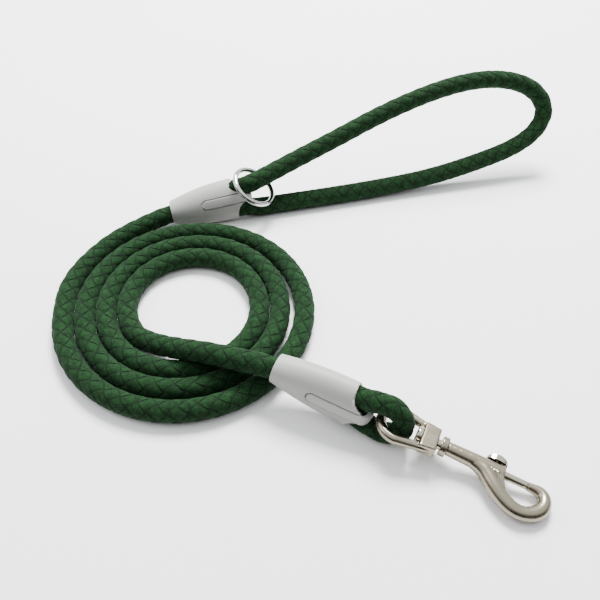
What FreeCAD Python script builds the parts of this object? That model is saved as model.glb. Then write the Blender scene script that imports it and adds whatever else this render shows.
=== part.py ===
"""Rope training leash laid out for storage: one braided rope coiled on the floor, a hand loop at one end
and a swivel bolt snap at the other, with a moulded sleeve over each rope splice.

Millimetres, +Z up. The origin is on the floor under the middle of everything but the coiled lead.
"""
import FreeCAD, Part
import math
import os
from FreeCAD import Placement, Rotation, Vector

# Driving dimensions
ROPE = 12.0                # diameter of the braided rope
PRESSED_ROPE = 11.0        # the rope where the snap's eye squeezes it
LEG_SPACING = 12.4         # between the two rope legs at a sleeve's mouth

# Flat coil of the lead, wound inwards and counter-clockwise seen from above. Angles are in degrees.
COIL_CENTRE = (-110.3, -20.5)
COIL_RADIUS = 73.0         # middle of the rope where the lead comes in
COIL_PITCH = 12.1          # the turns touch
COIL_OVAL = 1.4            # the coil is a little longer away from the snap
COIL_GAP = 2.0             # the outer turn stands off the next one here and there
COIL_START = 180.0
COIL_END = 1290.0
COIL_STEP = 30.0

# Sleeves: X runs out of the mouth, Z is across the two legs. Stations are x, half width, half thickness.
SLEEVE_OUTSIDE = ((-44.4, 7.6, 7.6), (-40.0, 8.7, 8.0), (-30.0, 11.0, 8.5), (-18.0, 12.7, 8.7),
                  (-6.0, 13.4, 8.6), (6.0, 13.2, 8.1))
SLEEVE_INSIDE = ((-44.5, 6.15, 6.15), (-40.0, 7.1, 6.2), (-30.0, 9.2, 6.2), (-18.0, 11.0, 6.2),
                 (-6.0, 12.2, 6.2), (6.1, 12.5, 6.2))
SLEEVE_TIP = 4.5           # the side walls reach this far past the mouth
# The mouth's edge seen from the side: x, distance from the middle
MOUTH_EDGE = ((-2.4, 14.5), (-2.0, 11.5), (-1.3, 8.5), (0.3, 5.6), (2.8, 3.7), (SLEEVE_TIP, 2.9))
HANDLE_TAIL = Vector(-130.1, 60.4, 8.9)
HANDLE_MOUTH = Vector(-87.2, 70.5, 13.6)
HANDLE_TILT = 57.0         # angle of the two legs' plane from the floor
CLIP_TAIL = Vector(-58.0, -76.1, 20.5)
CLIP_MOUTH = Vector(-18.2, -94.8, 14.3)
CLIP_TILT = 79.0

# The key is a U-shaped strap let into both faces of a sleeve and passing between the legs.
KEY_WIDTH = 5.6
KEY_ROPE_GAP = 0.25        # between the key's saddle and the rope's legs
KEY_GAP = 0.4              # round the key in its groove
KEY_START = -23.8
KEY_NOSE = 9.5
KEY_THICKNESS = 1.3
SADDLE_HALF_DEPTH = 8.4    # of the key's front, which passes between the legs
SADDLE_THICKNESS = 2.4     # at the nose; it thins towards the faces
KEY_PROUD = 0.3            # the arms stand this far off the sleeve's faces

# Splice inside a sleeve: the rope doubled back and pressed by a crimp
SPLICE_WIDTH = 19.6
SPLICE_THICKNESS = 9.6
SPLICE_BACK = -22.0
CRIMP_THICKNESS = 0.45
CRIMP_BACK = -12.0
CRIMP_FRONT = -3.0

# Accessory ring on the hand loop's upper leg
RING_CENTRE = Vector(-75.95, 70.9, 21.85)
RING_NORMAL = Vector(0.551, -0.110, 0.827)
RING_RADIUS = 13.85
RING_WIRE = 3.3

# Swivel bolt snap: X runs from the eye to the hook, the origin is where the shank starts
SNAP_ORIGIN = Vector(23.7, -115.8, 10.1)
SNAP_HEADING = -25.2
SNAP_DROP = 7.8            # the snap slopes down to the floor by this angle
EYE_ROLL = CLIP_TILT - 90.0
EYE_APEX = -33.5           # middle of the eye's wire at its far end
EYE_HALF_WIDTH = 9.3       # to the middle of the wire
EYE_WIRE = 5.2
BLOCK_BACK = -13.0
BLOCK_FRONT = -4.8
BLOCK_HALF_WIDTH = 8.2
BLOCK_FILLET = 0.9
POST_RADIUS = 2.5
POST_CLEARANCE = 0.08
HEAD_RADIUS = 4.3
HEAD_THICKNESS = 2.6
FACE_GAP = 0.1             # the swivel's end play at each face
WASHER_RADIUS = 4.9
WASHER_THICKNESS = 3.2
SHANK_RADIUS = 3.4
BARREL_RADIUS = 3.85
BARREL_START = 15.0
BARREL_END = 28.0
BOLT_RADIUS = 1.95
BOLT_CLEARANCE = 0.08
BOLT_BACK = 20.5
BOLT_TIP = 39.1
BORE_BACK = 6.6
BOLT_TRAVEL = 9.5
KNOB_X = 23.6              # middle of the thumb knob with the gate shut
KNOB_LENGTH = 10.4
KNOB_WIDTH = 6.2
KNOB_BASE = 4.3
KNOB_TOP = 7.2
STEM_RADIUS = 1.0
SLOT_CLEARANCE = 0.15
SPRING_RADIUS = 1.45       # to the middle of the wire
SPRING_WIRE = 0.45
SPRING_TURNS = 7

# Hook limb, from inside the barrel round to the tip: x, y, radius
HOOK_LIMB = ((11.0, 0.0, 3.0), (17.0, -1.4, 3.8), (21.6, -4.4, 4.1), (25.4, -8.0, 4.1), (30.6, -12.1, 3.8),
             (38.2, -14.6, 3.55), (44.6, -12.4, 3.65), (48.2, -7.4, 3.5), (47.8, -2.3, 3.1), (44.0, 0.0, 2.6),
             (39.3, 0.1, 2.25))
# Web between the barrel and the limb: x, y
HOOK_WEB = ((13.0, 1.5), (BARREL_END, 1.5), (BARREL_END, -2.2), (28.6, -5.0), (30.2, -8.2), (27.0, -10.5),
            (20.0, -5.0))
WEB_THICKNESS = 6.2

# Rope routes, each from a sleeve outwards
LEAD_IN = ((-108.8, 65.4, 11.2), (-130.1, 60.4, 8.9), (-149.3, 49.2, 6.4), (-161.8, 38.2, 6.0),
           (-170.8, 25.7, 6.0), (-178.8, 10.0, 6.0), (-182.8, -6.6, 6.0), (-181.9, -20.5, 6.0))
LEAD_OUT = ((-140.2, -37.8, 6.0), (-135.1, -44.5, 6.3), (-124.4, -50.7, 8.0), (-109.2, -58.6, 13.6),
            (-94.2, -64.8, 18.4), (-76.8, -70.7, 20.0), (-58.0, -76.1, 20.5), (-38.1, -85.45, 17.4))
HAND_LOOP = ((-88.4, 71.9, 20.1), (-78.3, 71.6, 23.9), (-63.8, 81.3, 26.5), (-42.8, 93.5, 31.4),
             (-21.3, 104.5, 37.0), (10.7, 119.2, 47.5), (44.7, 131.7, 56.5), (74.2, 140.2, 60.5),
             (98.7, 143.7, 59.0), (118.2, 142.7, 52.0), (127.7, 136.7, 40.0), (122.2, 128.2, 28.0),
             (105.7, 119.7, 19.5), (78.2, 110.2, 13.5), (44.7, 100.2, 8.0), (7.7, 90.7, 6.1),
             (-27.3, 81.7, 6.0), (-56.8, 74.7, 6.0), (-74.8, 70.1, 6.05), (-85.95, 67.4, 8.4))
# The clip loop's bight round the eye, in the plane of its legs: distance past the eye's pivot, distance across
CLIP_BIGHT = ((-4.0, 8.6), (4.6, 9.4), (11.0, 4.2), (11.0, -4.4), (4.6, -9.4), (-4.0, -8.8))
CLIP_BIGHT_RISE = 4.0      # the bight slopes up by this angle


def frame_at(origin, along, roll):
    """Placement whose X axis runs along a direction, with Z as near up as it can be, then rolled."""
    heading = math.degrees(math.atan2(along.y, along.x))
    rise = math.degrees(math.asin(along.z / along.Length))
    return Placement(origin, Rotation(heading, -rise, roll))


def slope(heading, drop):
    """Unit vector along a compass heading, sloping down by an angle."""
    flat = math.cos(math.radians(drop))
    return Vector(flat * math.cos(math.radians(heading)), flat * math.sin(math.radians(heading)),
                  -math.sin(math.radians(drop)))


HANDLE_FRAME = frame_at(HANDLE_MOUTH, HANDLE_MOUTH - HANDLE_TAIL, HANDLE_TILT - 90.0)
CLIP_FRAME = frame_at(CLIP_MOUTH, CLIP_MOUTH - CLIP_TAIL, CLIP_TILT - 90.0)
SNAP_ALONG = slope(SNAP_HEADING, SNAP_DROP)
SNAP_FRAME = frame_at(SNAP_ORIGIN, SNAP_ALONG, 0.0)
EYE_FRAME = frame_at(SNAP_ORIGIN, SNAP_ALONG, EYE_ROLL)
EYE_PIVOT = EYE_FRAME.multVec(Vector(EYE_APEX, 0, 0))


def placed(shape, frame):
    """A copy of a shape, moved from its own frame to the leash's."""
    copy = shape.copy()
    copy.transformShape(frame.toMatrix())
    return copy


def rope_path(points, name):
    """Straight runs joined by tangent arcs, each as large as its two runs allow."""
    corners = [Vector(*point) for point in points]
    edges = []
    radii = []
    start = corners[0]
    for before, corner, after in zip(corners, corners[1:], corners[2:]):
        back = before - corner
        ahead = after - corner
        half_turn = (math.pi - back.getAngle(ahead)) / 2
        trim = 0.45 * min(back.Length, ahead.Length)
        radius = trim / math.tan(half_turn)
        radii.append(radius)
        back.normalize()
        ahead.normalize()
        inwards = (back + ahead).normalize()
        arc_start = corner + back * trim
        arc_end = corner + ahead * trim
        middle = corner + inwards * (radius / math.cos(half_turn) - radius)
        edges.append(Part.LineSegment(start, arc_start).toShape())
        edges.append(Part.Arc(arc_start, middle, arc_end).toShape())
        start = arc_end
    edges.append(Part.LineSegment(start, corners[-1]).toShape())
    path = Part.Wire(edges)
    print(name, "length %.0f mm, arc radii" % path.Length, " ".join("%.0f" % radius for radius in radii))
    return path


def rope_tube(points, diameter, name):
    """Round tube along a route, with its volume compared with section times length."""
    path = rope_path(points, name)
    start = Vector(*points[0])
    ring = Part.Circle(start, Vector(*points[1]) - start, diameter / 2).toShape()
    tube = path.makePipeShell([Part.Wire([ring])], True, False)
    expected = math.pi * (diameter / 2) ** 2 * path.Length
    print("   valid", tube.isValid(), "volume / expected %.4f" % (tube.Volume / expected))
    return tube


def coil_radius(angle):
    """Distance of the rope's middle from the coil's centre."""
    turned = math.radians(angle)
    opening = min(max((angle - 200.0) / 100.0, 0.0), 1.0)
    closing = min(max((450.0 - angle) / 90.0, 0.0), 1.0)
    oval = COIL_OVAL * math.cos(2 * turned) + 0.5 * math.sin(2 * turned)
    return COIL_RADIUS - COIL_PITCH * (angle - COIL_START) / 360.0 - oval + COIL_GAP * opening * closing


def coil_outline(first, last, offset):
    """Curve beside the coil's rope from one angle to another, and the points at its ends."""
    count = round((last - first) / COIL_STEP)
    points = []
    for index in range(count + 1):
        angle = first + (last - first) * index / count
        radius = coil_radius(angle) + offset
        points.append(Vector(COIL_CENTRE[0] + radius * math.cos(math.radians(angle)),
                             COIL_CENTRE[1] + radius * math.sin(math.radians(angle)), 0.0))
    curve = Part.BSplineCurve()
    curve.interpolate(points)
    return curve.toShape(), points[0], points[-1]


def lead_coil():
    """The flat coil as one solid: its outer turn's outside, its last turn's inside, and the two rope ends."""
    outer, outer_start, outer_end = coil_outline(COIL_START, COIL_START + 360.0, ROPE / 2)
    outside = Part.Wire([outer, Part.LineSegment(outer_end, outer_start).toShape()])
    inner, inner_start, inner_end = coil_outline(COIL_END - 360.0, COIL_END, -ROPE / 2)
    inside = Part.Wire([inner, Part.LineSegment(inner_end, inner_start).toShape()])
    disc = Part.Face(outside).extrude(Vector(0, 0, ROPE))
    hole = Part.Face(inside).extrude(Vector(0, 0, ROPE))
    return disc.cut(hole)


def oval_wire(x, half_width, half_thickness):
    """Closed smooth oval across the X axis, wide along Z."""
    points = []
    for index in range(16):
        turn = 2 * math.pi * index / 16
        points.append(Vector(x, half_thickness * math.cos(turn), half_width * math.sin(turn)))
    curve = Part.BSplineCurve()
    curve.interpolate(points, PeriodicFlag=True)
    return Part.Wire([curve.toShape()])


def oval_loft(stations):
    """Solid through a row of ovals."""
    return Part.makeLoft([oval_wire(*station) for station in stations], True, False)


def stadium_prism(width, thickness, back, front):
    """Two round legs pressed side by side, from one place along X to another."""
    radius = thickness / 2
    reach = width / 2 - radius
    top = Part.makeCylinder(radius, front - back, Vector(back, 0, reach), Vector(1, 0, 0))
    bottom = Part.makeCylinder(radius, front - back, Vector(back, 0, -reach), Vector(1, 0, 0))
    middle = Part.makeBox(front - back, thickness, 2 * reach, Vector(back, -radius, -reach))
    return top.fuse(bottom).fuse(middle).removeSplitter()


def mouth_cutter():
    """Everything past the mouth's edge, which runs back from a blunt point beside the key towards the rims."""
    depth = 24.0
    reach = 20.0
    upper = [Vector(x, -depth / 2, z) for x, z in MOUTH_EDGE]
    lower = [Vector(x, -depth / 2, -z) for x, z in reversed(MOUTH_EDGE)]
    edges = []
    for points in (upper, lower):
        curve = Part.BSplineCurve()
        curve.interpolate(points)
        edges.append(curve.toShape())
    edges.insert(1, Part.LineSegment(upper[-1], lower[0]).toShape())
    corners = [lower[-1], Vector(reach, -depth / 2, -14.5), Vector(reach, -depth / 2, 14.5), upper[0]]
    for start, end in zip(corners, corners[1:]):
        edges.append(Part.LineSegment(start, end).toShape())
    return Part.Face(Part.Wire(edges)).extrude(Vector(0, depth, 0))


def key_slot(gap, front):
    """Round-ended bar across both faces of the sleeve, as wide as the key and a gap at each side."""
    radius = KEY_WIDTH / 2 + gap
    middle = KEY_START + KEY_WIDTH / 2
    end = Part.makeCylinder(radius, 24.0, Vector(middle, -12.0, 0), Vector(0, 1, 0))
    bar = Part.makeBox(front - middle, 24.0, 2 * radius, Vector(middle, -12.0, -radius))
    return end.fuse(bar)


def key_core(gap):
    """The sleeve's middle, which the key's two arms lie on."""
    reach = 8.3 - KEY_THICKNESS - gap
    return Part.makeBox(60.0, 2 * reach, 30.0, Vector(-50.0, -reach, -15.0))


def sleeve():
    """Moulded sleeve: round where the lead comes out, oval where the two legs do, grooved on both faces."""
    body = oval_loft(SLEEVE_OUTSIDE).cut(oval_loft(SLEEVE_INSIDE)).cut(mouth_cutter())
    groove = key_slot(KEY_GAP, 10.0).cut(key_core(KEY_GAP))
    return body.cut(groove)


def sleeve_key():
    """The U-shaped key: two arms in the sleeve's faces, joined round the front by a saddle between the legs."""
    proud = [(x, width, thickness + KEY_PROUD) for x, width, thickness in SLEEVE_OUTSIDE]
    arms = oval_loft(proud).common(key_slot(0.0, SLEEVE_TIP)).cut(key_core(0.0))
    outer = Part.Ellipse(Vector(SLEEVE_TIP, 0, -KEY_WIDTH / 2), SADDLE_HALF_DEPTH, KEY_NOSE - SLEEVE_TIP)
    outer.AngleXU = math.pi / 2
    inner = Part.Ellipse(Vector(SLEEVE_TIP, 0, -KEY_WIDTH / 2), SADDLE_HALF_DEPTH - 1.4,
                         KEY_NOSE - SLEEVE_TIP - SADDLE_THICKNESS)
    inner.AngleXU = math.pi / 2
    band = Part.Face(Part.Wire([outer.toShape()])).cut(Part.Face(Part.Wire([inner.toShape()])))
    band = band.extrude(Vector(0, 0, KEY_WIDTH))
    band = band.cut(Part.makeBox(20.0, 30.0, 10.0, Vector(SLEEVE_TIP - 20.0, -15.0, -5.0)))
    return arms.fuse(band)


def crimp():
    """Metal ferrule pressed round both rope legs."""
    outside = stadium_prism(SPLICE_WIDTH + 2 * CRIMP_THICKNESS, SPLICE_THICKNESS + 2 * CRIMP_THICKNESS,
                            CRIMP_BACK, CRIMP_FRONT)
    return outside.cut(stadium_prism(SPLICE_WIDTH, SPLICE_THICKNESS, CRIMP_BACK - 1.0, CRIMP_FRONT + 1.0))


def accessory_ring():
    """Welded ring of round wire."""
    return Part.makeTorus(RING_RADIUS, RING_WIRE / 2, RING_CENTRE, RING_NORMAL)


def clip_bight():
    """Route of the clip loop in the leash's frame. Its plane aims at the eye's pivot."""
    bight = frame_at(EYE_PIVOT, slope(SNAP_HEADING, -CLIP_BIGHT_RISE), CLIP_TILT - 90.0)
    points = [tuple(bight.multVec(Vector(along, 0, across))) for along, across in CLIP_BIGHT]
    first = tuple(CLIP_FRAME.multVec(Vector(0, 0, LEG_SPACING / 2)))
    last = tuple(CLIP_FRAME.multVec(Vector(0, 0, -LEG_SPACING / 2)))
    return [first] + points + [last]


def swivel_eye():
    """D-shaped eye of round wire, closed by the block that the post turns in."""
    wire = EYE_WIRE / 2
    centre = Vector(EYE_APEX + EYE_HALF_WIDTH, 0, 0)
    arch = Part.makeTorus(EYE_HALF_WIDTH, wire, centre, Vector(0, 0, 1))
    arch = arch.cut(Part.makeBox(40.0, 40.0, 20.0, Vector(centre.x, -20.0, -10.0)))
    arms = []
    for side in (1, -1):
        start = Vector(centre.x, side * EYE_HALF_WIDTH, 0)
        end = Vector(BLOCK_FRONT - 2.5, side * (BLOCK_HALF_WIDTH - 2.3), 0)
        arms.append(Part.makeCone(wire, 1.8, (end - start).Length, start, end - start))
        arms.append(Part.makeSphere(wire, start))
    sections = []
    for x, half_width, half_height in ((BLOCK_BACK, BLOCK_HALF_WIDTH, 3.1), (BLOCK_FRONT, 7.0, 3.3)):
        corners = [Vector(x, y, z) for y, z in ((-half_width, -half_height), (half_width, -half_height),
                                                (half_width, half_height), (-half_width, half_height))]
        sections.append(Part.makePolygon(corners + corners[:1]))
    block = Part.makeLoft(sections, True, True)
    block = block.makeFillet(BLOCK_FILLET, block.Edges)
    eye = arch.multiFuse(arms + [block]).removeSplitter()
    bore = Part.makeCylinder(POST_RADIUS + POST_CLEARANCE, 20.0, Vector(BLOCK_BACK - 5.0, 0, 0), Vector(1, 0, 0))
    return eye.cut(bore)


def swivel_post():
    """Rivet that the eye turns on: a domed head inside the eye and a shank pressed into the snap's body."""
    face = BLOCK_BACK - FACE_GAP
    back = face - HEAD_THICKNESS
    rim = 1.2
    profile = [Part.LineSegment(Vector(back, 0, 0), Vector(back, HEAD_RADIUS - rim, 0)).toShape(),
               Part.Arc(Vector(back, HEAD_RADIUS - rim, 0),
                        Vector(back + rim * 0.3, HEAD_RADIUS - rim * 0.3, 0),
                        Vector(back + rim, HEAD_RADIUS, 0)).toShape(),
               Part.LineSegment(Vector(back + rim, HEAD_RADIUS, 0), Vector(face, HEAD_RADIUS, 0)).toShape(),
               Part.LineSegment(Vector(face, HEAD_RADIUS, 0), Vector(face, POST_RADIUS, 0)).toShape(),
               Part.LineSegment(Vector(face, POST_RADIUS, 0), Vector(BORE_BACK - 1.6, POST_RADIUS, 0)).toShape(),
               Part.LineSegment(Vector(BORE_BACK - 1.6, POST_RADIUS, 0), Vector(BORE_BACK - 1.6, 0, 0)).toShape(),
               Part.LineSegment(Vector(BORE_BACK - 1.6, 0, 0), Vector(back, 0, 0)).toShape()]
    return Part.Face(Part.Wire(profile)).revolve(Vector(0, 0, 0), Vector(1, 0, 0), 360.0)


def swivel_washer():
    """Collar between the eye's block and the snap's shank."""
    disc = Part.makeCylinder(WASHER_RADIUS, WASHER_THICKNESS, Vector(-WASHER_THICKNESS, 0, 0), Vector(1, 0, 0))
    edges = [edge for edge in disc.Edges if isinstance(edge.Curve, Part.Circle)]
    disc = disc.makeFillet(0.6, edges)
    return disc.cut(Part.makeCylinder(POST_RADIUS, 10.0, Vector(-5.0, 0, 0), Vector(1, 0, 0)))


def limb_wire(index):
    """Circle across the hook's limb at one of its stations."""
    x, y, radius = HOOK_LIMB[index]
    before = HOOK_LIMB[max(index - 1, 0)]
    after = HOOK_LIMB[min(index + 1, len(HOOK_LIMB) - 1)]
    if index == len(HOOK_LIMB) - 1:
        before = (x + 1.0, y, 0)
    circle = Part.Circle(Vector(x, y, 0), Vector(after[0] - before[0], after[1] - before[1], 0), radius)
    return Part.Wire([circle.toShape()])


def snap_body():
    """Cast body: shank, barrel for the bolt and the hook's limb, bored for the post, the bolt and its spring."""
    shank = Part.makeCone(SHANK_RADIUS, BARREL_RADIUS, BARREL_START, Vector(0, 0, 0), Vector(1, 0, 0))
    barrel = Part.makeCylinder(BARREL_RADIUS, BARREL_END - BARREL_START, Vector(BARREL_START, 0, 0),
                               Vector(1, 0, 0))
    limb = Part.makeLoft([limb_wire(index) for index in range(len(HOOK_LIMB))], True, False)
    corners = [Vector(x, y, -WEB_THICKNESS / 2) for x, y in HOOK_WEB]
    web = Part.Face(Part.makePolygon(corners + corners[:1])).extrude(Vector(0, 0, WEB_THICKNESS))
    body = limb.multiFuse([shank, barrel, web])
    post_hole = Part.makeCylinder(POST_RADIUS, BORE_BACK - 1.6 + 1.0, Vector(-1.0, 0, 0), Vector(1, 0, 0))
    bore = Part.makeCylinder(BOLT_RADIUS + BOLT_CLEARANCE, BARREL_END - BORE_BACK + 4.0, Vector(BORE_BACK, 0, 0),
                             Vector(1, 0, 0))
    slot_half = STEM_RADIUS + SLOT_CLEARANCE
    slot_back = KNOB_X - BOLT_TRAVEL
    slot = Part.makeBox(BOLT_TRAVEL, 10.0, 2 * slot_half, Vector(slot_back, 0, -slot_half))
    slot_ends = [Part.makeCylinder(slot_half, 10.0, Vector(x, 0, 0), Vector(0, 1, 0)) for x in (slot_back, KNOB_X)]
    return body.cut(post_hole).cut(bore).cut(slot).cut(slot_ends[0]).cut(slot_ends[1])


def bolt():
    """Sliding gate: a round rod with a rounded tip and a cross hole for the knob's stem."""
    rod = Part.makeCylinder(BOLT_RADIUS, BOLT_TIP - BOLT_BACK, Vector(BOLT_BACK, 0, 0), Vector(1, 0, 0))
    rims = [edge for edge in rod.Edges if isinstance(edge.Curve, Part.Circle)]
    rod = rod.makeChamfer(0.25, rims)
    return rod.cut(Part.makeCylinder(STEM_RADIUS, 10.0, Vector(KNOB_X, -5.0, 0), Vector(0, 1, 0)))


def thumb_knob():
    """Domed thumb piece on a stem that passes through the slot into the bolt."""
    stem = Part.makeCylinder(STEM_RADIUS, BOLT_RADIUS - 0.15 + KNOB_BASE + 0.5,
                             Vector(KNOB_X, -BOLT_RADIUS + 0.15, 0),
                             Vector(0, 1, 0))
    rise = KNOB_TOP - KNOB_BASE
    half = KNOB_LENGTH / 2
    edges = [Part.Arc(Vector(KNOB_X - half, KNOB_BASE + 0.9, 0), Vector(KNOB_X, KNOB_TOP, 0),
                      Vector(KNOB_X + half, KNOB_BASE + 0.9, 0)).toShape(),
             Part.LineSegment(Vector(KNOB_X + half, KNOB_BASE + 0.9, 0),
                              Vector(KNOB_X + half, KNOB_BASE, 0)).toShape(),
             Part.LineSegment(Vector(KNOB_X + half, KNOB_BASE, 0),
                              Vector(KNOB_X - half, KNOB_BASE, 0)).toShape(),
             Part.LineSegment(Vector(KNOB_X - half, KNOB_BASE, 0),
                              Vector(KNOB_X - half, KNOB_BASE + 0.9, 0)).toShape()]
    slab = Part.Face(Part.Wire(edges)).extrude(Vector(0, 0, KNOB_WIDTH))
    slab.translate(Vector(0, 0, -KNOB_WIDTH / 2))
    plan = Part.makeCylinder(half, rise + 1.0, Vector(0, 0, 0), Vector(0, 1, 0))
    squash = FreeCAD.Matrix()
    squash.scale(1.0, 1.0, KNOB_WIDTH / KNOB_LENGTH)
    plan = plan.transformGeometry(squash)
    plan.translate(Vector(KNOB_X, KNOB_BASE - 0.2, 0))
    return slab.common(plan).fuse(stem)


def bolt_spring():
    """Compression spring behind the bolt."""
    length = BOLT_BACK - BORE_BACK - SPRING_WIRE - 0.2
    helix = Part.makeHelix(length / SPRING_TURNS, length, SPRING_RADIUS)
    ring = Part.Circle(Vector(SPRING_RADIUS, 0, 0), Vector(0, 1, 0), SPRING_WIRE / 2).toShape()
    spring = Part.Wire(helix.Edges).makePipeShell([Part.Wire([ring])], True, True)
    spring.rotate(Vector(0, 0, 0), Vector(0, 1, 0), 90.0)
    spring.translate(Vector(BORE_BACK + SPRING_WIRE / 2 + 0.1, 0, 0))
    return spring


def pieces():
    """Every node's name and its shape in the leash's frame."""
    splice = stadium_prism(SPLICE_WIDTH, SPLICE_THICKNESS, SPLICE_BACK, -0.05)
    yield "lead_coil", lead_coil()
    yield "lead_in", rope_tube(LEAD_IN, ROPE, "lead_in")
    yield "lead_out", rope_tube(LEAD_OUT, ROPE, "lead_out")
    yield "hand_loop", rope_tube(HAND_LOOP, ROPE, "hand_loop")
    yield "clip_loop", rope_tube(clip_bight(), PRESSED_ROPE, "clip_loop")
    for end, frame, route, diameter in (("handle", HANDLE_FRAME, HAND_LOOP, ROPE),
                                        ("clip", CLIP_FRAME, clip_bight(), PRESSED_ROPE)):
        room = rope_tube(route, diameter + 2 * KEY_ROPE_GAP, "room round the " + end + "'s rope")
        yield end + "_sleeve", placed(sleeve(), frame)
        yield end + "_key", placed(sleeve_key(), frame).cut(room)
        yield end + "_splice", placed(splice, frame)
        yield end + "_crimp", placed(crimp(), frame)
    yield "accessory_ring", accessory_ring()
    yield "swivel_eye", placed(swivel_eye(), EYE_FRAME)
    yield "swivel_post", placed(swivel_post(), SNAP_FRAME)
    yield "swivel_washer", placed(swivel_washer(), SNAP_FRAME)
    yield "snap_body", placed(snap_body(), SNAP_FRAME)
    yield "bolt", placed(bolt(), SNAP_FRAME)
    yield "thumb_knob", placed(thumb_knob(), SNAP_FRAME)
    yield "bolt_spring", placed(bolt_spring(), SNAP_FRAME)


os.makedirs("parts", exist_ok=True)
for name, shape in pieces():
    shape.exportStep("parts/%s.step" % name)
    box = shape.BoundBox
    print("%-15s valid %s solids %d volume %.0f  x %.1f..%.1f  y %.1f..%.1f  z %.1f..%.1f" % (
        name, shape.isValid(), len(shape.Solids), shape.Volume, box.XMin, box.XMax, box.YMin, box.YMax,
        box.ZMin, box.ZMax))
print("eye pivot", EYE_PIVOT, "snap axis", SNAP_ALONG)
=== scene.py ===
"""Looks for a rope training leash: braided rope, moulded sleeves, chrome ring and a nickel bolt snap."""
import math

import bpy
from bpy.props import FloatProperty, FloatVectorProperty, PointerProperty
from mathutils import Euler, Matrix, Vector


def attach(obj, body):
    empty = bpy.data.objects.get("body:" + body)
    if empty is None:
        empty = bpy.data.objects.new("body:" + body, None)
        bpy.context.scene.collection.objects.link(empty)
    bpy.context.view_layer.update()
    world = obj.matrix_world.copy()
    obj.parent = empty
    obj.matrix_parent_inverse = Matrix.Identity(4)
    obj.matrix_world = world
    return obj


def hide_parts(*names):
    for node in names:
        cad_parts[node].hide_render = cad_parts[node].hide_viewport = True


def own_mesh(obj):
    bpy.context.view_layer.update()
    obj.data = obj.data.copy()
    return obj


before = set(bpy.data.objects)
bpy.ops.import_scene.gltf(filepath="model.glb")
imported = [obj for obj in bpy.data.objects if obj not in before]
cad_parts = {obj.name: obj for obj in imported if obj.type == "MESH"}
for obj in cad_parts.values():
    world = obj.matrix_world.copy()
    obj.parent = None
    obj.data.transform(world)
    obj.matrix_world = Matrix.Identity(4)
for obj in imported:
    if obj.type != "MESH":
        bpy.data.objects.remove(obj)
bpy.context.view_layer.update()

bl_info = {
    "name": "Rope training leash",
    "version": (1, 0, 0),
    "blender": (4, 5, 0),
    "location": "View3D > Sidebar > Leash",
    "description": "Braids the rope and finishes the hardware of a training leash",
    "category": "Object",
}

MM = 0.001

# Where each sleeve's mouth and the snap's shank are, in millimetres, with the direction they point in
HANDLE_TAIL = (-130.1, 60.4, 8.9)
HANDLE_MOUTH = (-87.2, 70.5, 13.6)
HANDLE_TILT = 57.0
CLIP_TAIL = (-58.0, -76.1, 20.5)
CLIP_MOUTH = (-18.2, -94.8, 14.3)
CLIP_TILT = 79.0
SNAP_ORIGIN = (23.7, -115.8, 10.1)
SNAP_HEADING = -25.2
SNAP_DROP = 7.8
EYE_APEX = -33.5
LEG_SPACING = 12.4
INSIDE_MOUTH = -9.0        # where a leg's route starts, back inside its sleeve
INSIDE_REACH = 5.6         # how far each leg is from the sleeve's middle there

# Flat coil, wound inwards. Angles are in degrees.
COIL_CENTRE = (-110.3, -20.5)
COIL_RADIUS = 73.0
COIL_PITCH = 12.1
COIL_HEIGHT = 6.0
COIL_OVAL = 1.4
COIL_SKEW = 0.5
COIL_GAP = 2.0             # the outer turn stands out by up to this much, between the angles below
GAP_OPENS = 200
GAP_OPENING = 100          # degrees that it takes to open
GAP_CLOSED = 450
GAP_CLOSING = 90           # degrees that it takes to close
COIL_START = 180
COIL_END = 1290
COIL_STEP = 15

# Rope routes in millimetres, each from a sleeve outwards
LEAD_IN = ((-108.8, 65.4, 11.2), (-130.1, 60.4, 8.9), (-149.3, 49.2, 6.4), (-161.8, 38.2, 6.0),
           (-170.8, 25.7, 6.0), (-178.8, 10.0, 6.0), (-182.8, -6.6, 6.0))
LEAD_OUT = ((-135.1, -44.5, 6.3), (-124.4, -50.7, 8.0), (-109.2, -58.6, 13.6), (-94.2, -64.8, 18.4),
            (-76.8, -70.7, 20.0), (-58.0, -76.1, 20.5), (-38.1, -85.45, 17.4))
HAND_LOOP = ((-88.4, 71.9, 20.1), (-78.3, 71.6, 23.9), (-63.8, 81.3, 26.5), (-42.8, 93.5, 31.4),
             (-21.3, 104.5, 37.0), (10.7, 119.2, 47.5), (44.7, 131.7, 56.5), (74.2, 140.2, 60.5),
             (98.7, 143.7, 59.0), (118.2, 142.7, 52.0), (127.7, 136.7, 40.0), (122.2, 128.2, 28.0),
             (105.7, 119.7, 19.5), (78.2, 110.2, 13.5), (44.7, 100.2, 8.0), (7.7, 90.7, 6.1),
             (-27.3, 81.7, 6.0), (-56.8, 74.7, 6.0), (-74.8, 70.1, 6.05), (-85.95, 67.4, 8.4))
CLIP_BIGHT = ((-4.0, 8.6), (4.6, 9.4), (11.0, 4.2), (11.0, -4.4), (4.6, -9.4), (-4.0, -8.8))
CLIP_BIGHT_RISE = 4.0

# Where a strip's surface is sampled across one diamond of the braid. The close pairs keep its edges crisp.
STRIP_STATIONS = (0.0, 0.032, 0.13, 0.31, 0.5, 0.69, 0.87, 0.968)

# Height of a strip, as a share of its relief
STRIP_END_HEIGHT = 0.12
STRIP_CROWN_POWER = 0.7    # under 1, so that the crown is broad
STRIP_EDGE_DROP = 0.16

# Painted shade in the braid's colour where strips meet, and how far from a strip's end the painted shade
# reaches
SHADE_AT_CORNER = 0.8
SHADE_AT_EDGE = 0.5
SHADE_AT_END = 1.0
SHADE_NEAR_END = 0.2
END_REACH = 0.06
NEAR_END_REACH = 0.2

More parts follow.
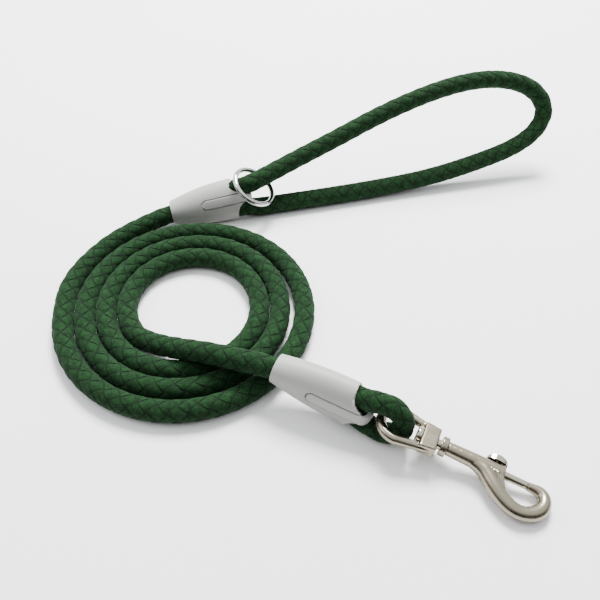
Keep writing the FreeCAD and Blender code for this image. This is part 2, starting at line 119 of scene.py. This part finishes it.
TANGENT_REACH = 3          # steps on either side that a rope's direction is taken over
PATH_STRIDE = 4            # a cord's path, as braid returns it, keeps one point in this many
CLIP_DIAMOND = 0.9         # the clip loop's diamonds are shorter, because its rope is squeezed
BRAID_CREASE = 38.0        # degrees
SPRING_CREASE = 50.0       # degrees

# Softboxes: name, place and aim in metres, width in metres, power in watts
SOFTBOXES = (("Back softbox", (0.05, 0.70, 1.05), (-0.02, 0.0, 0.0), 0.5, 66.0),
             ("Left softbox", (-0.95, 0.1, 0.9), (0.0, 0.0, 0.0), 0.6, 5.0))
SKY_TOWARDS = (0.0, 0.42, 0.62)
SKY_STRENGTH = 1.95

CAMERA_PLACE = (-0.0458, -0.2750, 0.28235)
CAMERA_TILT = 43.15
CAMERA_LENS = 39.0
CAMERA_SENSOR = 36.0


class LeashSizes(bpy.types.PropertyGroup):
    """Sizes and colours of the leash."""

    rope_diameter: FloatProperty(
        name="Rope diameter", description="Over the crowns of the strips", default=0.012, min=0.006, max=0.02,
        subtype="DISTANCE", unit="LENGTH", precision=4)
    pressed_diameter: FloatProperty(
        name="Pressed rope", description="Rope diameter where the eye squeezes it", default=0.011, min=0.005,
        max=0.02, subtype="DISTANCE", unit="LENGTH", precision=4)
    diamond_length: FloatProperty(
        name="Diamond length", description="One diamond of the braid along the rope", default=0.010, min=0.004,
        max=0.02, subtype="DISTANCE", unit="LENGTH", precision=4)
    strip_relief: FloatProperty(
        name="Strip relief", description="How far a strip's crown stands over its ends", default=0.00062,
        min=0.0, max=0.002, subtype="DISTANCE", unit="LENGTH", precision=5)
    floor_size: FloatProperty(
        name="Floor size", description="Width of the floor", default=6.0, min=1.0, max=20.0,
        subtype="DISTANCE", unit="LENGTH")
    rope_colour: FloatVectorProperty(
        name="Rope", description="Suede strip in full light", subtype="COLOR", size=3,
        default=(0.0095, 0.0370, 0.0108), min=0.0, max=1.0)
    sleeve_colour: FloatVectorProperty(
        name="Sleeves", description="Moulded sleeves", subtype="COLOR", size=3,
        default=(0.29, 0.29, 0.275), min=0.0, max=1.0)


def linear(code):
    """Linear colour with alpha from an sRGB hex code such as 3F6E48."""
    channels = [int(code[at:at + 2], 16) / 255 for at in (0, 2, 4)]
    return [c / 12.92 if c <= 0.04045 else ((c + 0.055) / 1.055) ** 2.4 for c in channels] + [1.0]


def per_mm(size):
    """Texture scale that draws features of a size in millimetres."""
    return 1.0 / (size * MM)


def add_node(tree, kind, settings=None, inputs=None):
    """Add a shader node. An input is a constant, or another node's output socket to link from."""
    node = tree.nodes.new(kind)
    for name, value in (settings or {}).items():
        setattr(node, name, value)
    for name, value in (inputs or {}).items():
        socket = node.inputs[name]
        if isinstance(value, bpy.types.NodeSocket):
            tree.links.new(value, socket)
        else:
            socket.default_value = value
    return node


def new_material(name):
    """Empty node material and its tree."""
    material = bpy.data.materials.new(name)
    material.use_nodes = True
    material.node_tree.nodes.clear()
    return material, material.node_tree


def finish_material(tree, inputs):
    """Principled shader with the given inputs, wired to the output."""
    shader = add_node(tree, "ShaderNodeBsdfPrincipled", None, inputs)
    add_node(tree, "ShaderNodeOutputMaterial", None, {"Surface": shader.outputs["BSDF"]})


def suede_braid(sizes):
    """Microfibre suede strip: a matte nap in lighter and darker patches, with painted shade where strips dive.
    """
    material, tree = new_material("Microfibre suede strip")
    place = add_node(tree, "ShaderNodeTexCoord").outputs["Object"]
    painted_gap_shade = add_node(tree, "ShaderNodeAttribute", {"attribute_name": "painted_gap_shade"}).outputs["Fac"]
    nap = add_node(tree, "ShaderNodeTexNoise", None, {"Vector": place, "Scale": per_mm(2.6), "Detail": 3.0,
                                                      "Roughness": 0.6}).outputs["Fac"]
    fibre = add_node(tree, "ShaderNodeTexNoise", None, {"Vector": place, "Scale": per_mm(0.62), "Detail": 4.0,
                                                        "Roughness": 0.7}).outputs["Fac"]
    lit = list(sizes.rope_colour)
    brushed = add_node(tree, "ShaderNodeValToRGB", None, {"Fac": nap})
    brushed.color_ramp.elements[0].position = 0.32
    brushed.color_ramp.elements[0].color = [c * 0.62 for c in lit] + [1.0]
    brushed.color_ramp.elements[1].position = 0.70
    brushed.color_ramp.elements[1].color = [c * 1.35 for c in lit] + [1.0]
    flecks = add_node(tree, "ShaderNodeValToRGB", None, {"Fac": fibre})
    flecks.color_ramp.elements[0].position = 0.38
    flecks.color_ramp.elements[0].color = linear("808080")
    flecks.color_ramp.elements[1].position = 0.64
    flecks.color_ramp.elements[1].color = linear("FFFFFF")
    flecked = add_node(tree, "ShaderNodeMix", {"data_type": "RGBA", "blend_type": "MULTIPLY"}, {"Factor": 0.9})
    tree.links.new(brushed.outputs["Color"], flecked.inputs["A"])
    tree.links.new(flecks.outputs["Color"], flecked.inputs["B"])
    # painted shade: a near-black green mixed in where the painted gap shade attribute is high
    gap_shaded = add_node(tree, "ShaderNodeMix", {"data_type": "RGBA"}, {"Factor": painted_gap_shade})
    tree.links.new(flecked.outputs["Result"], gap_shaded.inputs["A"])
    gap_shaded.inputs["B"].default_value = linear("08140B")
    bump = add_node(tree, "ShaderNodeBump", None, {"Strength": 0.6, "Distance": 0.2 * MM, "Height": fibre})
    finish_material(tree, {"Base Color": gap_shaded.outputs["Result"], "Roughness": 0.92, "IOR": 1.46,
                           "Specular IOR Level": 0.12, "Sheen Weight": 0.07, "Sheen Roughness": 0.45,
                           "Sheen Tint": linear("9CC4A4"), "Normal": bump.outputs["Normal"]})
    return material


def rubbery_plastic(name, colour):
    """Soft-touch moulded plastic: a fine spark-eroded texture that spreads the highlight."""
    material, tree = new_material(name)
    place = add_node(tree, "ShaderNodeTexCoord").outputs["Object"]
    grain = add_node(tree, "ShaderNodeTexNoise", None, {"Vector": place, "Scale": per_mm(0.3), "Detail": 3.0,
                                                        "Roughness": 0.6}).outputs["Fac"]
    cloud = add_node(tree, "ShaderNodeTexNoise", None, {"Vector": place, "Scale": per_mm(9.0),
                                                        "Detail": 2.0}).outputs["Fac"]
    tone = add_node(tree, "ShaderNodeValToRGB", None, {"Fac": cloud})
    tone.color_ramp.elements[0].position = 0.3
    tone.color_ramp.elements[0].color = [c * 0.965 for c in colour] + [1.0]
    tone.color_ramp.elements[1].position = 0.7
    tone.color_ramp.elements[1].color = list(colour) + [1.0]
    shine = add_node(tree, "ShaderNodeMapRange", None, {"Value": cloud, "To Min": 0.48, "To Max": 0.60})
    bump = add_node(tree, "ShaderNodeBump", None, {"Strength": 0.10, "Distance": 0.05 * MM, "Height": grain})
    finish_material(tree, {"Base Color": tone.outputs["Color"], "Roughness": shine.outputs["Result"],
                           "IOR": 1.49, "Specular IOR Level": 0.4, "Normal": bump.outputs["Normal"]})
    return material


def plated_metal(name, code, dull, bright, ripple, grain_mm):
    """Plated casting: smooth metal whose gloss and surface wander a little, as polishing leaves them."""
    material, tree = new_material(name)
    place = add_node(tree, "ShaderNodeTexCoord").outputs["Object"]
    wander = add_node(tree, "ShaderNodeTexNoise", None, {"Vector": place, "Scale": per_mm(grain_mm),
                                                         "Detail": 3.0}).outputs["Fac"]
    fine = add_node(tree, "ShaderNodeTexNoise", None, {"Vector": place, "Scale": per_mm(0.35),
                                                       "Detail": 2.0}).outputs["Fac"]
    gloss = add_node(tree, "ShaderNodeMapRange", None, {"Value": wander, "From Min": 0.3, "From Max": 0.7,
                                                        "To Min": bright, "To Max": dull})
    mixed = add_node(tree, "ShaderNodeMath", {"operation": "ADD"}, {0: wander, 1: fine})
    bump = add_node(tree, "ShaderNodeBump", None, {"Strength": ripple, "Distance": 0.08 * MM,
                                                   "Height": mixed.outputs["Value"]})
    finish_material(tree, {"Base Color": linear(code), "Metallic": 1.0, "Roughness": gloss.outputs["Result"],
                           "Normal": bump.outputs["Normal"]})
    return material


def direction_frame(origin, along, roll):
    """Matrix in metres whose X runs along a direction, with Z as near up as it can be, then rolled."""
    heading = math.atan2(along.y, along.x)
    rise = math.asin(along.z / along.length)
    turn = Matrix.Rotation(heading, 4, "Z") @ Matrix.Rotation(-rise, 4, "Y") @ Matrix.Rotation(
        math.radians(roll), 4, "X")
    return Matrix.Translation(Vector(origin) * MM) @ turn


def slope(heading, drop):
    """Unit vector along a compass heading, sloping down by an angle."""
    flat = math.cos(math.radians(drop))
    return Vector((flat * math.cos(math.radians(heading)), flat * math.sin(math.radians(heading)),
                   -math.sin(math.radians(drop))))


HANDLE_FRAME = direction_frame(HANDLE_MOUTH, Vector(HANDLE_MOUTH) - Vector(HANDLE_TAIL), HANDLE_TILT - 90)
CLIP_FRAME = direction_frame(CLIP_MOUTH, Vector(CLIP_MOUTH) - Vector(CLIP_TAIL), CLIP_TILT - 90)
SNAP_FRAME = direction_frame(SNAP_ORIGIN, slope(SNAP_HEADING, SNAP_DROP), 0)


def coil_points():
    """Control points of the coil, in metres."""
    points = []
    for angle in range(COIL_START, COIL_END + 1, COIL_STEP):
        turned = math.radians(angle)
        opening = min(max((angle - GAP_OPENS) / GAP_OPENING, 0.0), 1.0)
        closing = min(max((GAP_CLOSED - angle) / GAP_CLOSING, 0.0), 1.0)
        oval = COIL_OVAL * math.cos(2 * turned) + COIL_SKEW * math.sin(2 * turned)
        wound = COIL_PITCH * (angle - COIL_START) / 360
        radius = COIL_RADIUS - wound - oval + COIL_GAP * opening * closing
        points.append(Vector((COIL_CENTRE[0] + radius * math.cos(turned),
                              COIL_CENTRE[1] + radius * math.sin(turned), COIL_HEIGHT)) * MM)
    return points


def clip_points():
    """Control points of the clip loop, in metres, from one rope leg round the eye to the other."""
    pivot = SNAP_FRAME @ Vector((EYE_APEX * MM, 0, 0))
    bight = direction_frame(pivot / MM, slope(SNAP_HEADING, -CLIP_BIGHT_RISE), CLIP_TILT - 90)
    legs = [CLIP_FRAME @ (Vector((along, 0, across)) * MM) for along, across in
            ((INSIDE_MOUTH, INSIDE_REACH), (0.0, LEG_SPACING / 2),
             (0.0, -LEG_SPACING / 2), (INSIDE_MOUTH, -INSIDE_REACH))]
    return legs[:2] + [bight @ (Vector((along, 0, across)) * MM) for along, across in CLIP_BIGHT] + legs[2:]


def hand_points():
    """Control points of the hand loop, in metres, with both legs carried a little way into the sleeve."""
    legs = [HANDLE_FRAME @ (Vector((INSIDE_MOUTH, 0, across)) * MM)
            for across in (INSIDE_REACH, -INSIDE_REACH)]
    return [legs[0]] + [Vector(point) * MM for point in HAND_LOOP] + [legs[1]]


def spline_line(name, points):
    """Points along a smooth NURBS line through a route's control points."""
    curve = bpy.data.curves.new(name, "CURVE")
    curve.dimensions = "3D"
    curve.resolution_u = 24
    spline = curve.splines.new("NURBS")
    spline.points.add(len(points) - 1)
    for point, place in zip(spline.points, points):
        point.co = (*place, 1.0)
    spline.order_u = 3
    spline.use_endpoint_u = True
    holder = bpy.data.objects.new(name, curve)
    bpy.context.scene.collection.objects.link(holder)
    bpy.context.view_layer.update()
    mesh = bpy.data.meshes.new_from_object(holder)
    line = [vertex.co.copy() for vertex in mesh.vertices]
    bpy.data.objects.remove(holder)
    bpy.data.meshes.remove(mesh)
    bpy.data.curves.remove(curve)
    return line


def even_steps(line, step):
    """Points about a fixed step apart along a line, and the line's length."""
    lengths = [(b - a).length for a, b in zip(line, line[1:])]
    total = sum(lengths)
    count = max(int(round(total / step)), 2)
    placed = []
    index = 0
    passed = 0.0
    for number in range(count + 1):
        target = total * number / count
        while index < len(lengths) - 1 and passed + lengths[index] < target:
            passed += lengths[index]
            index += 1
        part = min(max((target - passed) / lengths[index], 0.0), 1.0)
        placed.append(line[index].lerp(line[index + 1], part))
    return placed, total


def strip_height(run, across):
    """Height of a strip over the rope's core, 0 to 1: low where it dives under others, crowned between."""
    crown = STRIP_END_HEIGHT + (1.0 - STRIP_END_HEIGHT) * math.sin(math.pi * run) ** STRIP_CROWN_POWER
    return crown * (1.0 - STRIP_EDGE_DROP * (2 * across - 1) ** 2)


def braid_cell(first, second):
    """Height and painted gap shade at a corner of the braid's grid, counted along the two ways the strips run.
    """
    count = len(STRIP_STATIONS)
    cell = (first // count, second // count)
    a = STRIP_STATIONS[first % count]
    b = STRIP_STATIONS[second % count]
    rising = (cell[0] + cell[1]) % 2 == 0
    if a == 0.0 and b == 0.0:
        return strip_height(0.0, 0.0), SHADE_AT_CORNER
    if a == 0.0:
        return strip_height(b, 0.0), SHADE_AT_EDGE
    if b == 0.0:
        return strip_height(a, 0.0), SHADE_AT_EDGE
    run, across = (a, b) if rising else (b, a)
    end = min(run, 1.0 - run)
    # painted shade: darkest at a strip's ends, where it dives under others, and fainter a little further in
    painted_gap_shade = SHADE_AT_END if end < END_REACH else (SHADE_NEAR_END if end < NEAR_END_REACH else 0.0)
    return strip_height(run, across), painted_gap_shade


def station_shift(number):
    """How far a grid line is moved from even spacing, in grid steps, to close up the pairs at strip edges."""
    count = len(STRIP_STATIONS)
    return STRIP_STATIONS[number % count] * count - number % count


def braid(name, points, diameter, diamond, relief, material):
    """Eight flat strips braided round a core along a route: four diamonds around, in two staggered rows."""
    line = spline_line(name + "_line", points)
    count = len(STRIP_STATIONS)
    around = 4 * count
    placed, total = even_steps(line, diamond / (2 * count))
    tangents = []
    for index in range(len(placed)):
        before = placed[max(index - TANGENT_REACH, 0)]
        after = placed[min(index + TANGENT_REACH, len(placed) - 1)]
        tangents.append((after - before).normalized())
    side = tangents[0].cross(Vector((0, 0, 1)))
    side = side.normalized() if side.length > 0.01 else Vector((1, 0, 0))
    vertices = []
    painted_gap_shades = []
    for level, (centre, tangent) in enumerate(zip(placed, tangents)):
        side = (side - tangent * side.dot(tangent)).normalized()
        up = tangent.cross(side)
        for slot in range(around):
            turn = 2 * slot + (level % 2)
            first = (level + turn) // 2
            second = (level - turn) // 2
            height, painted_gap_shade = braid_cell(first, second)
            offset = station_shift(first) + station_shift(second)
            angle = 2 * math.pi * (turn + station_shift(first) - station_shift(second)) / (2 * around)
            reach = diameter / 2 - relief * (1.0 - height)
            spot = centre + tangent * (offset * total / (len(placed) - 1))
            vertices.append(spot + (side * math.cos(angle) + up * math.sin(angle)) * reach)
            painted_gap_shades.append(painted_gap_shade)
    faces = []
    for level in range(len(placed) - 2):
        for slot in range(around):
            odd = level % 2
            low = level * around + slot
            right = (level + 1) * around + (slot + odd) % around
            left = (level + 1) * around + (slot + odd - 1) % around
            top = (level + 2) * around + slot
            faces.append((low, right, top, left))
    mesh = bpy.data.meshes.new(name)
    mesh.from_pydata(vertices, [], faces)
    mesh.validate()
    # the painted gap shade goes to the suede material as a point attribute
    attribute = mesh.attributes.new("painted_gap_shade", "FLOAT", "POINT")
    attribute.data.foreach_set("value", painted_gap_shades)
    mesh.materials.append(material)
    rope = bpy.data.objects.new(name, mesh)
    bpy.context.scene.collection.objects.link(rope)
    bpy.ops.object.select_all(action="DESELECT")
    rope.select_set(True)
    bpy.context.view_layer.objects.active = rope
    bpy.ops.object.mode_set(mode="EDIT")
    bpy.ops.mesh.select_all(action="SELECT")
    bpy.ops.mesh.normals_make_consistent(inside=False)
    bpy.ops.mesh.select_all(action="DESELECT")
    bpy.ops.object.mode_set(mode="OBJECT")
    bpy.ops.object.shade_smooth_by_angle(angle=math.radians(BRAID_CREASE))
    return rope, placed[::PATH_STRIDE], total


def cad_finish(names, material):
    """Give CAD nodes a material."""
    for name in names:
        node = bpy.data.objects[name]
        node.data.materials.clear()
        node.data.materials.append(material)


def cad_copy(source, name, body, material):
    """Replace a CAD node by a merged copy that can be shaped further. It is left selected."""
    node = bpy.data.objects[source]
    mesh = node.data.copy()
    mesh.transform(node.matrix_world)
    mesh.materials.clear()
    mesh.materials.append(material)
    copy = bpy.data.objects.new(name, mesh)
    bpy.context.scene.collection.objects.link(copy)
    bpy.ops.object.select_all(action="DESELECT")
    copy.select_set(True)
    bpy.context.view_layer.objects.active = copy
    bpy.ops.object.mode_set(mode="EDIT")
    bpy.ops.mesh.select_all(action="SELECT")
    bpy.ops.mesh.remove_doubles(threshold=0.01 * MM)
    bpy.ops.object.mode_set(mode="OBJECT")
    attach(copy, body)
    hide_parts(source)
    return copy


def casting(source, name, body, material, voxel, passes):
    """Replace a CAD node by a cast copy, its joins rounded by a remesh and smoothing. The voxel is in mm."""
    cast = cad_copy(source, name, body, material)
    cast.data.remesh_voxel_size = voxel * MM
    bpy.ops.object.voxel_remesh()
    bpy.ops.object.mode_set(mode="EDIT")
    bpy.ops.mesh.select_all(action="SELECT")
    bpy.ops.mesh.vertices_smooth(factor=0.5, repeat=passes)
    bpy.ops.object.mode_set(mode="OBJECT")
    bpy.ops.object.shade_smooth()
    cast.data.materials.clear()
    cast.data.materials.append(material)


def shared_suede(sizes):
    """The suede material, made once."""
    return bpy.data.materials.get("Microfibre suede strip") or suede_braid(sizes)


class LEASH_OT_lead(bpy.types.Operator):
    """Braid the lead: out of the handle's sleeve, round the coil and back over it to the clip's sleeve"""

    bl_idname = "leash.lead"
    bl_label = "Lead"

    def execute(self, context):
        sizes = context.scene.leash_sizes
        points = [Vector(p) * MM for p in LEAD_IN] + coil_points() + [Vector(p) * MM for p in LEAD_OUT]
        rope, path, total = braid("lead", points, sizes.rope_diameter, sizes.diamond_length,
                                  sizes.strip_relief, shared_suede(sizes))
        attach(rope, "leash")
        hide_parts("lead_coil", "lead_in", "lead_out")
        print("lead length", round(total, 4))
        return {"FINISHED"}


class LEASH_OT_hand_loop(bpy.types.Operator):
    """Braid the hand loop, which stands off the floor because its sleeve holds the two legs"""

    bl_idname = "leash.hand_loop"
    bl_label = "Hand loop"

    def execute(self, context):
        sizes = context.scene.leash_sizes
        rope, path, total = braid("grip_rope", hand_points(), sizes.rope_diameter, sizes.diamond_length,
                                  sizes.strip_relief, shared_suede(sizes))
        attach(rope, "leash")
        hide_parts("hand_loop")
        print("hand loop length", round(total, 4))
        return {"FINISHED"}


class LEASH_OT_clip_loop(bpy.types.Operator):
    """Braid the tight loop that holds the snap's eye"""

    bl_idname = "leash.clip_loop"
    bl_label = "Clip loop"

    def execute(self, context):
        sizes = context.scene.leash_sizes
        rope, path, total = braid("clip_rope", clip_points(), sizes.pressed_diameter,
                                  sizes.diamond_length * CLIP_DIAMOND, sizes.strip_relief, shared_suede(sizes))
        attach(rope, "leash")
        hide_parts("clip_loop")
        print("clip loop length", round(total, 4))
        return {"FINISHED"}


class LEASH_OT_sleeves(bpy.types.Operator):
    """Finish both sleeves, their keys and the crimped splices inside"""

    bl_idname = "leash.sleeves"
    bl_label = "Sleeves"

    def execute(self, context):
        sizes = context.scene.leash_sizes
        shell = rubbery_plastic("Soft-touch sleeve", list(sizes.sleeve_colour))
        inlay = rubbery_plastic("Soft-touch key", [c * 1.04 for c in sizes.sleeve_colour])
        for end in ("handle", "clip"):
            casting(end + "_sleeve", end + "_shell", "leash", shell, voxel=0.34, passes=3)
            casting(end + "_key", end + "_inlay", "leash", inlay, voxel=0.22, passes=4)
        cad_finish(("handle_splice", "clip_splice"), shared_suede(sizes))
        cad_finish(("handle_crimp", "clip_crimp"),
                   plated_metal("Pressed aluminium", "C4C5C6",
                                dull=0.5, bright=0.35, ripple=0.2, grain_mm=2.0))
        return {"FINISHED"}


class LEASH_OT_ring(bpy.types.Operator):
    """Finish the accessory ring"""

    bl_idname = "leash.ring"
    bl_label = "Accessory ring"

    def execute(self, context):
        cad_finish(("accessory_ring",),
                   plated_metal("Polished chrome", "B9B9B8",
                                dull=0.10, bright=0.05, ripple=0.03, grain_mm=6.0))
        return {"FINISHED"}


class LEASH_OT_snap(bpy.types.Operator):
    """Finish the swivel bolt snap"""

    bl_idname = "leash.snap"
    bl_label = "Bolt snap"

    def execute(self, context):
        satin = plated_metal("Satin nickel on zinc", "878070",
                             dull=0.30, bright=0.24, ripple=0.02, grain_mm=5.0)
        bright = plated_metal("Bright nickel", "A8A294",
                              dull=0.20, bright=0.13, ripple=0.02, grain_mm=5.0)
        casting("snap_body", "cast_hook", "snap", satin, voxel=0.32, passes=14)
        casting("swivel_eye", "cast_eye", "eye", satin, voxel=0.28, passes=6)
        cad_finish(("swivel_washer",), satin)
        cad_finish(("bolt", "thumb_knob", "swivel_post"), bright)
        spring = cad_copy("bolt_spring", "coil_spring", "snap",
                          plated_metal("Spring wire", "A9A9A9",
                                       dull=0.4, bright=0.3, ripple=0.1, grain_mm=2.0))
        bpy.ops.object.shade_smooth_by_angle(angle=math.radians(SPRING_CREASE))
        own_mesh(spring)
        return {"FINISHED"}


class LEASH_OT_stage(bpy.types.Operator):
    """Set the pale floor, the soft light and the camera"""

    bl_idname = "leash.stage"
    bl_label = "Stage"

    def execute(self, context):
        sizes = context.scene.leash_sizes
        bpy.ops.object.select_all(action="DESELECT")
        bpy.ops.mesh.primitive_plane_add(size=sizes.floor_size)
        floor = context.object
        floor.name = "floor"
        paper, tree = new_material("Pale paper")
        grain = add_node(tree, "ShaderNodeTexNoise", None,
                         {"Scale": per_mm(40.0), "Detail": 2.0}).outputs["Fac"]
        tone = add_node(tree, "ShaderNodeValToRGB", None, {"Fac": grain})
        tone.color_ramp.elements[0].color = linear("EDEDED")
        tone.color_ramp.elements[1].color = linear("F0F0F0")
        finish_material(tree, {"Base Color": tone.outputs["Color"], "Roughness": 0.9,
                               "Specular IOR Level": 0.2})
        floor.data.materials.append(paper)
        world = bpy.data.worlds.new("Studio")
        world.use_nodes = True
        backdrop = world.node_tree.nodes["Background"]
        direction = add_node(world.node_tree, "ShaderNodeTexCoord").outputs["Generated"]
        height = add_node(world.node_tree, "ShaderNodeVectorMath", {"operation": "DOT_PRODUCT"},
                          {0: direction, 1: SKY_TOWARDS}).outputs["Value"]
        sky = add_node(world.node_tree, "ShaderNodeValToRGB", None, {"Fac": height})
        sky.color_ramp.elements[0].position = 0.06
        sky.color_ramp.elements[0].color = linear("2E2C29")
        sky.color_ramp.elements[1].position = 0.42
        sky.color_ramp.elements[1].color = linear("F6F8FA")
        world.node_tree.links.new(sky.outputs["Color"], backdrop.inputs["Color"])
        backdrop.inputs["Strength"].default_value = SKY_STRENGTH
        context.scene.world = world
        for name, place, aim, size, power in SOFTBOXES:
            lamp = bpy.data.lights.new(name, "AREA")
            lamp.size = size
            lamp.energy = power
            holder = bpy.data.objects.new(name, lamp)
            holder.location = place
            holder.rotation_euler = (Vector(aim) - Vector(place)).to_track_quat("-Z", "Y").to_euler()
            context.scene.collection.objects.link(holder)
        lens = bpy.data.cameras.new("Camera")
        lens.lens = CAMERA_LENS
        lens.sensor_width = CAMERA_SENSOR
        camera = bpy.data.objects.new("Camera", lens)
        camera.location = CAMERA_PLACE
        camera.rotation_euler = Euler((math.radians(CAMERA_TILT), 0.0, 0.0))
        context.scene.collection.objects.link(camera)
        context.scene.camera = camera
        return {"FINISHED"}


class LEASH_PT_panel(bpy.types.Panel):
    """The leash's pieces and sizes"""

    bl_idname = "LEASH_PT_panel"
    bl_label = "Leash"
    bl_space_type = "VIEW_3D"
    bl_region_type = "UI"
    bl_category = "Leash"

    def draw(self, context):
        for operator in PIECES:
            self.layout.operator(operator.bl_idname)
        for name in LeashSizes.__annotations__:
            self.layout.prop(context.scene.leash_sizes, name)


PIECES = (LEASH_OT_lead, LEASH_OT_hand_loop, LEASH_OT_clip_loop, LEASH_OT_sleeves, LEASH_OT_ring,
          LEASH_OT_snap, LEASH_OT_stage)


def register():
    """Register the classes and the scene's sizes."""
    for item in (LeashSizes, *PIECES, LEASH_PT_panel):
        bpy.utils.register_class(item)
    bpy.types.Scene.leash_sizes = PointerProperty(type=LeashSizes)


def unregister():
    """Take the classes and the scene's sizes out again."""
    del bpy.types.Scene.leash_sizes
    for item in reversed((LeashSizes, *PIECES, LEASH_PT_panel)):
        bpy.utils.unregister_class(item)


def main():
    """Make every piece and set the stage."""
    register()
    bpy.ops.leash.lead()
    bpy.ops.leash.hand_loop()
    bpy.ops.leash.clip_loop()
    bpy.ops.leash.sleeves()
    bpy.ops.leash.ring()
    bpy.ops.leash.snap()
    bpy.ops.leash.stage()


if __name__ == "__main__":
    main()
